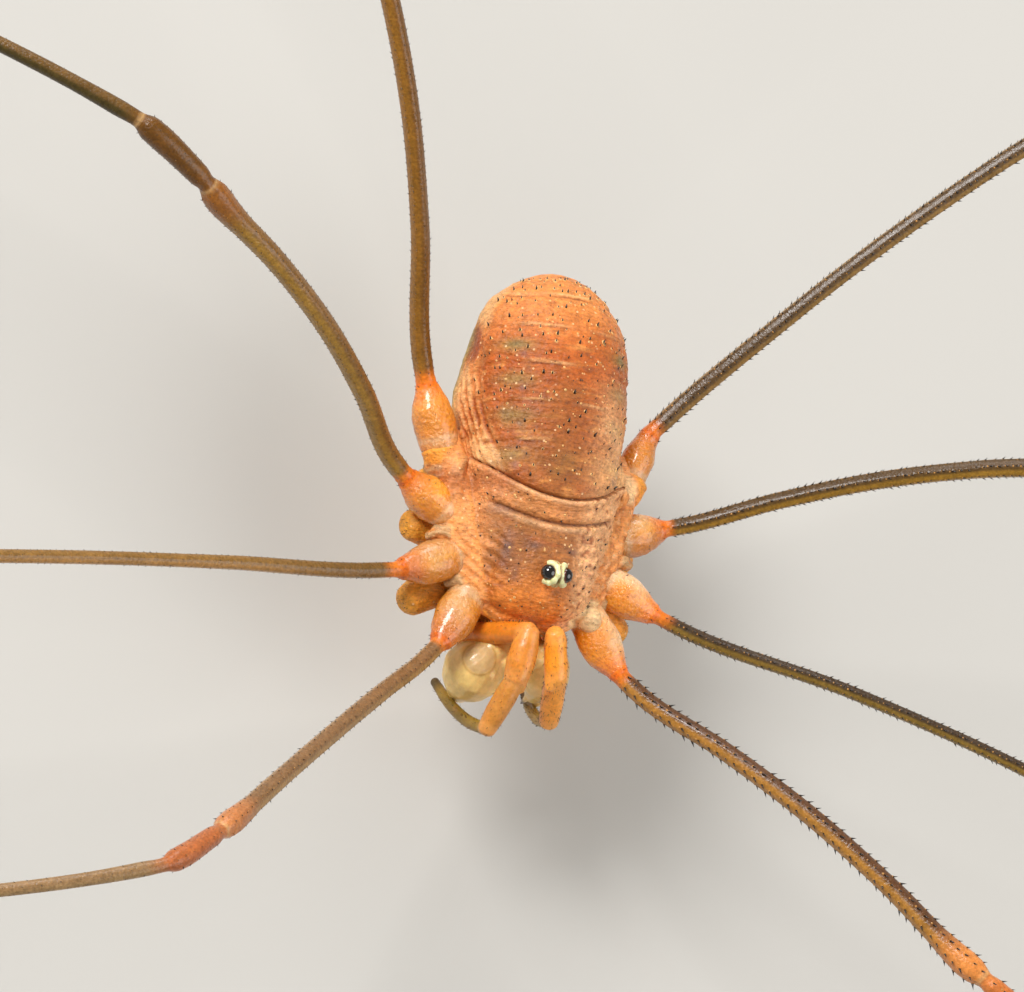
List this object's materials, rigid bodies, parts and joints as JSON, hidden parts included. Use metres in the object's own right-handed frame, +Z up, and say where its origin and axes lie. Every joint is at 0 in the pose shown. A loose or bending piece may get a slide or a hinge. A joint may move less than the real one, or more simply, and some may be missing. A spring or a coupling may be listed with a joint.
{
  "type": "harvestman model",
  "caption": "Still life-size model of a long-legged harvestman standing on the floor, with an orange body, brown legs and a pale eye mound.",
  "frame": {"origin": "centre of the animal's bounding box on the floor it stands on", "axes": "+X to the animal's own left, +Y toward its rear, so the head faces -Y, +Z up from the floor"},
  "size_m": [0.1234, 0.0544, 0.0094],
  "materials": {
    "abdomen_cuticle": "satin, finely wrinkled skin",
    "carapace_cuticle": "satin, finely granular shell",
    "eye_mound_cuticle": "satin",
    "eye_cuticle": "high gloss, a wet-looking lens",
    "coxa_cuticle": "gloss, slightly translucent",
    "trochanter_cuticle": "gloss, slightly translucent",
    "femur_cuticle": "gloss",
    "patella_cuticle": "gloss",
    "tibia_cuticle": "gloss",
    "metatarsus_cuticle": "satin",
    "tarsus_cuticle": "satin",
    "chelicera_cuticle": "gloss, slightly translucent",
    "pedipalp_cuticle": "satin"
  },
  "bodies": {
    "root": {"abdomen": "abdomen_cuticle", "carapace": "carapace_cuticle", "ocularium": "eye_mound_cuticle", "eye_left": "eye_cuticle", "coxae_left": "coxa_cuticle", "chelicera_left": "chelicera_cuticle", "pedipalp_left": "pedipalp_cuticle", "leg_left_1_trochanter": "trochanter_cuticle", "leg_left_1_femur": "femur_cuticle", "leg_left_1_patella": "patella_cuticle", "leg_left_1_tibia": "tibia_cuticle", "leg_left_1_metatarsus": "metatarsus_cuticle", "leg_left_1_tarsus": "tarsus_cuticle", "leg_left_2_trochanter": "trochanter_cuticle", "leg_left_2_femur": "femur_cuticle", "leg_left_2_patella": "patella_cuticle", "leg_left_2_tibia": "tibia_cuticle", "leg_left_2_metatarsus": "metatarsus_cuticle", "leg_left_2_tarsus": "tarsus_cuticle", "leg_left_3_trochanter": "trochanter_cuticle", "leg_left_3_femur": "femur_cuticle", "leg_left_3_patella": "patella_cuticle", "leg_left_3_tibia": "tibia_cuticle", "leg_left_3_metatarsus": "metatarsus_cuticle", "leg_left_3_tarsus": "tarsus_cuticle", "leg_left_4_trochanter": "trochanter_cuticle", "leg_left_4_femur": "femur_cuticle", "leg_left_4_patella": "patella_cuticle", "leg_left_4_tibia": "tibia_cuticle", "leg_left_4_metatarsus": "metatarsus_cuticle", "leg_left_4_tarsus": "tarsus_cuticle", "eye_right": "eye_cuticle", "coxae_right": "coxa_cuticle", "chelicera_right": "chelicera_cuticle", "pedipalp_right": "pedipalp_cuticle", "leg_right_1_trochanter": "trochanter_cuticle", "leg_right_1_femur": "femur_cuticle", "leg_right_1_patella": "patella_cuticle", "leg_right_1_tibia": "tibia_cuticle", "leg_right_1_metatarsus": "metatarsus_cuticle", "leg_right_1_tarsus": "tarsus_cuticle", "leg_right_2_trochanter": "trochanter_cuticle", "leg_right_2_femur": "femur_cuticle", "leg_right_2_patella": "patella_cuticle", "leg_right_2_tibia": "tibia_cuticle", "leg_right_2_metatarsus": "metatarsus_cuticle", "leg_right_2_tarsus": "tarsus_cuticle", "leg_right_3_trochanter": "trochanter_cuticle", "leg_right_3_femur": "femur_cuticle", "leg_right_3_patella": "patella_cuticle", "leg_right_3_tibia": "tibia_cuticle", "leg_right_3_metatarsus": "metatarsus_cuticle", "leg_right_3_tarsus": "tarsus_cuticle", "leg_right_4_trochanter": "trochanter_cuticle", "leg_right_4_femur": "femur_cuticle", "leg_right_4_patella": "patella_cuticle", "leg_right_4_tibia": "tibia_cuticle", "leg_right_4_metatarsus": "metatarsus_cuticle", "leg_right_4_tarsus": "tarsus_cuticle"}
  },
  "joints": []
}
